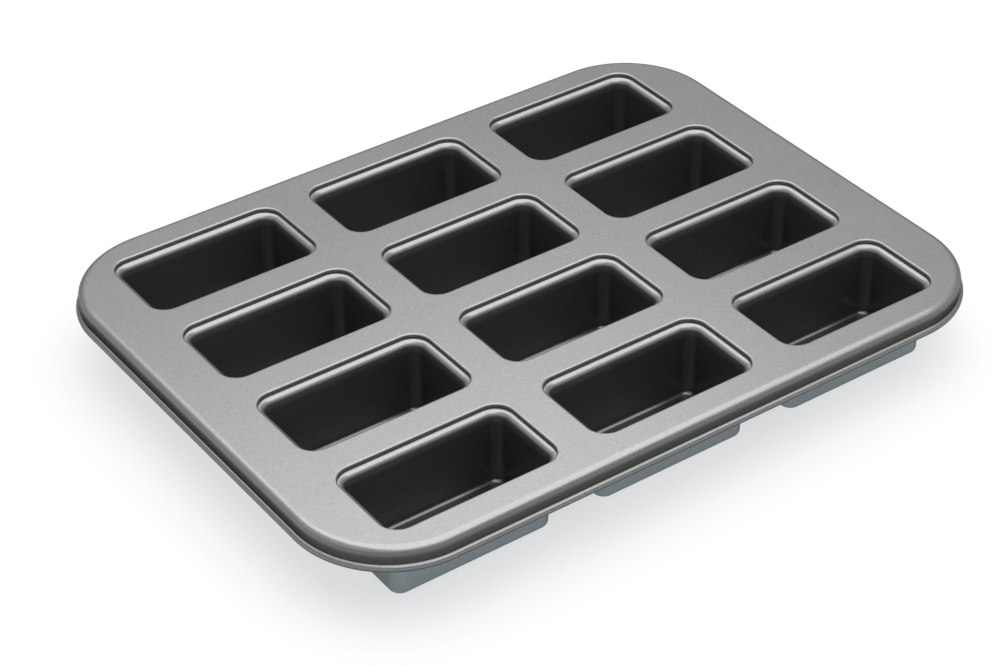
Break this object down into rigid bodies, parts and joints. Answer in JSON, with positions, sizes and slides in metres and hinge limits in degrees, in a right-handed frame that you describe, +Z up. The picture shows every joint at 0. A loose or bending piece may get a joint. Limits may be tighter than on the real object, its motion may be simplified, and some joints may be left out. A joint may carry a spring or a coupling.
{
  "type": "mini loaf pan",
  "caption": "Flat sheet-metal baking frame with a rolled, wired rim and deep oblong drawn cups locked into it in rows, for baking small loaves.",
  "frame": {"origin": "middle of the pan in plan, at the level of the surface that the cups' bases stand on", "axes": "+X along the long side and the cups' length, +Y along the short side, +Z up through the mouths"},
  "size_m": [0.3386, 0.2576, 0.0377],
  "materials": {
    "frame_coat": "satin metallic grey non-stick coat with a fine grain",
    "cup_coat": "satin metallic grey non-stick coat, blue-grey outside",
    "wire_steel": "bare drawn wire, closed in the rim"
  },
  "bodies": {
    "root": {"top_frame": "frame_coat", "rim_wire": "wire_steel", "cup_a1": "cup_coat", "cup_a2": "cup_coat", "cup_a3": "cup_coat", "cup_a4": "cup_coat", "cup_b1": "cup_coat", "cup_b2": "cup_coat", "cup_b3": "cup_coat", "cup_b4": "cup_coat", "cup_c1": "cup_coat", "cup_c2": "cup_coat", "cup_c3": "cup_coat", "cup_c4": "cup_coat"}
  },
  "joints": []
}
